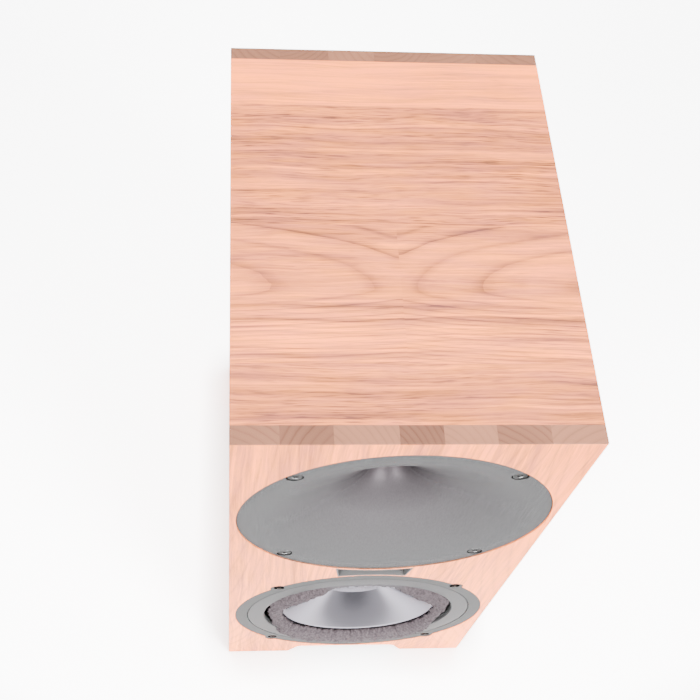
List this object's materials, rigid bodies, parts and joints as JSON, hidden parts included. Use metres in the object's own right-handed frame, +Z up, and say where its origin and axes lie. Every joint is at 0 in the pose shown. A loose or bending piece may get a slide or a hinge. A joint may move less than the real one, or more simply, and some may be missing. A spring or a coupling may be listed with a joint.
{
  "type": "bookshelf speaker",
  "caption": "Stand-mounted two-way speaker: solid-wood cabinet with a large round metal horn above a woofer, a slot port between them and screw terminals in a cup at the back.",
  "frame": {"origin": "middle of the whole speaker's footprint, at floor level", "axes": "+Z up along the height, +Y towards the back, +X to the right seen from the front"},
  "size_m": [0.28, 0.4, 0.6],
  "materials": {
    "cabinet_wood": "open-grained solid wood, hand-rubbed oil",
    "inner_ply": "bare plywood",
    "damping_felt": "thick wool felt",
    "horn_metal": "fine satin, slightly warm grey",
    "port_metal": "satin grey",
    "frame_metal": "light grey satin",
    "dark_screw": "blackened steel",
    "bright_steel": "plated steel",
    "brass": "bare brass",
    "gold_brass": "gold plated",
    "gasket_fibre": "grey sealing ring",
    "motor_steel": "zinc-plated steel",
    "ferrite": "dark sintered ferrite",
    "black_plastic": "fine-textured black plastic",
    "red_plastic": "red plastic",
    "dome_metal": "thin metal dome",
    "dome_film": "thin film",
    "coil_wire": "enamelled copper winding",
    "surround_cloth": "gathered, coated cloth",
    "cone_paper": "smooth coated paper, silver grey",
    "spider_cloth": "corrugated treated cloth",
    "circuit_board": "fibre board",
    "capacitor_film": "wrapped film capacitor",
    "resistor_ceramic": "cement body",
    "wire_sleeve": "soft insulation"
  },
  "bodies": {
    "cabinet": {"back_panel": "cabinet_wood", "board_fixings": "bright_steel", "bottom_panel": "cabinet_wood", "capacitors": "capacitor_film", "corner_cleats": "inner_ply", "crossover_board": "circuit_board", "cup_screws": "dark_screw", "damping_felt": "damping_felt", "dome_frame": "black_plastic", "dome_suspension": "dome_film", "driver_bolts": "bright_steel", "driver_cover": "black_plastic", "driver_cover_screws": "dark_screw", "driver_gasket": "gasket_fibre", "driver_magnet": "ferrite", "driver_pole": "motor_steel", "driver_tags": "brass", "driver_top_plate": "motor_steel", "driver_wires": "wire_sleeve", "front_baffle": "cabinet_wood", "horn": "horn_metal", "horn_inserts": "brass", "horn_screws": "bright_steel", "input_wires": "wire_sleeve", "left_side_panel": "cabinet_wood", "mitre_splines": "inner_ply", "phase_plug": "black_plastic", "port_duct": "port_metal", "post_bases": "black_plastic", "post_hex_nuts": "gold_brass", "post_studs": "gold_brass", "resistors": "resistor_ceramic", "right_side_panel": "cabinet_wood", "terminal_cup": "black_plastic", "top_panel": "cabinet_wood", "tweeter_inductor": "coil_wire", "window_brace": "inner_ply", "woofer_basket": "frame_metal", "woofer_gasket": "gasket_fibre", "woofer_inductor": "coil_wire", "woofer_inserts": "brass", "woofer_magnet": "ferrite", "woofer_screws": "dark_screw", "woofer_spider": "spider_cloth", "woofer_surround": "surround_cloth", "woofer_terminals": "black_plastic", "woofer_top_plate": "motor_steel", "woofer_wires": "wire_sleeve", "woofer_yoke": "motor_steel"},
    "woofer_piston": {"woofer_cone": "cone_paper", "woofer_dust_cap": "cone_paper", "woofer_voice_coil": "coil_wire"},
    "horn_dome": {"dome": "dome_metal", "dome_coil": "coil_wire"},
    "black_washer": {"black_clamp_washer": "gold_brass"},
    "black_nut": {"black_post_nut": "black_plastic"},
    "red_washer": {"red_clamp_washer": "gold_brass"},
    "red_nut": {"red_post_nut": "red_plastic"}
  },
  "joints": [
    {"name": "woofer_stroke", "type": "slide", "parent": "cabinet", "child": "woofer_piston", "axis": [0, -1, 0], "range_m": [-0.006, 0.006], "stiffness_N_per_m": 1700, "deforming": ["woofer_surround", "woofer_spider"]},
    {"name": "dome_stroke", "type": "slide", "parent": "cabinet", "child": "horn_dome", "axis": [0, -1, 0], "range_m": [-0.0004, 0.0004], "stiffness_N_per_m": 150, "deforming": ["dome_suspension"]},
    {"name": "black_washer_slide", "type": "slide", "parent": "cabinet", "child": "black_washer", "axis": [0, 1, 0], "range_m": [0, 0.005]},
    {"name": "black_nut_turn", "type": "hinge", "parent": "black_washer", "child": "black_nut", "pos_m": [-0.00953, 0.175, 0.12], "axis": [0, -1, 0], "range_deg": [0, 1800]},
    {"name": "red_washer_slide", "type": "slide", "parent": "cabinet", "child": "red_washer", "axis": [0, 1, 0], "range_m": [0, 0.005]},
    {"name": "red_nut_turn", "type": "hinge", "parent": "red_washer", "child": "red_nut", "pos_m": [0.00953, 0.175, 0.12], "axis": [0, -1, 0], "range_deg": [0, 1800]}
  ],
  "couplings": [
    {"joint": "black_washer_slide", "follows": "black_nut_turn", "m_per_rad": 0.00015915},
    {"joint": "red_washer_slide", "follows": "red_nut_turn", "m_per_rad": 0.00015915}
  ]
}
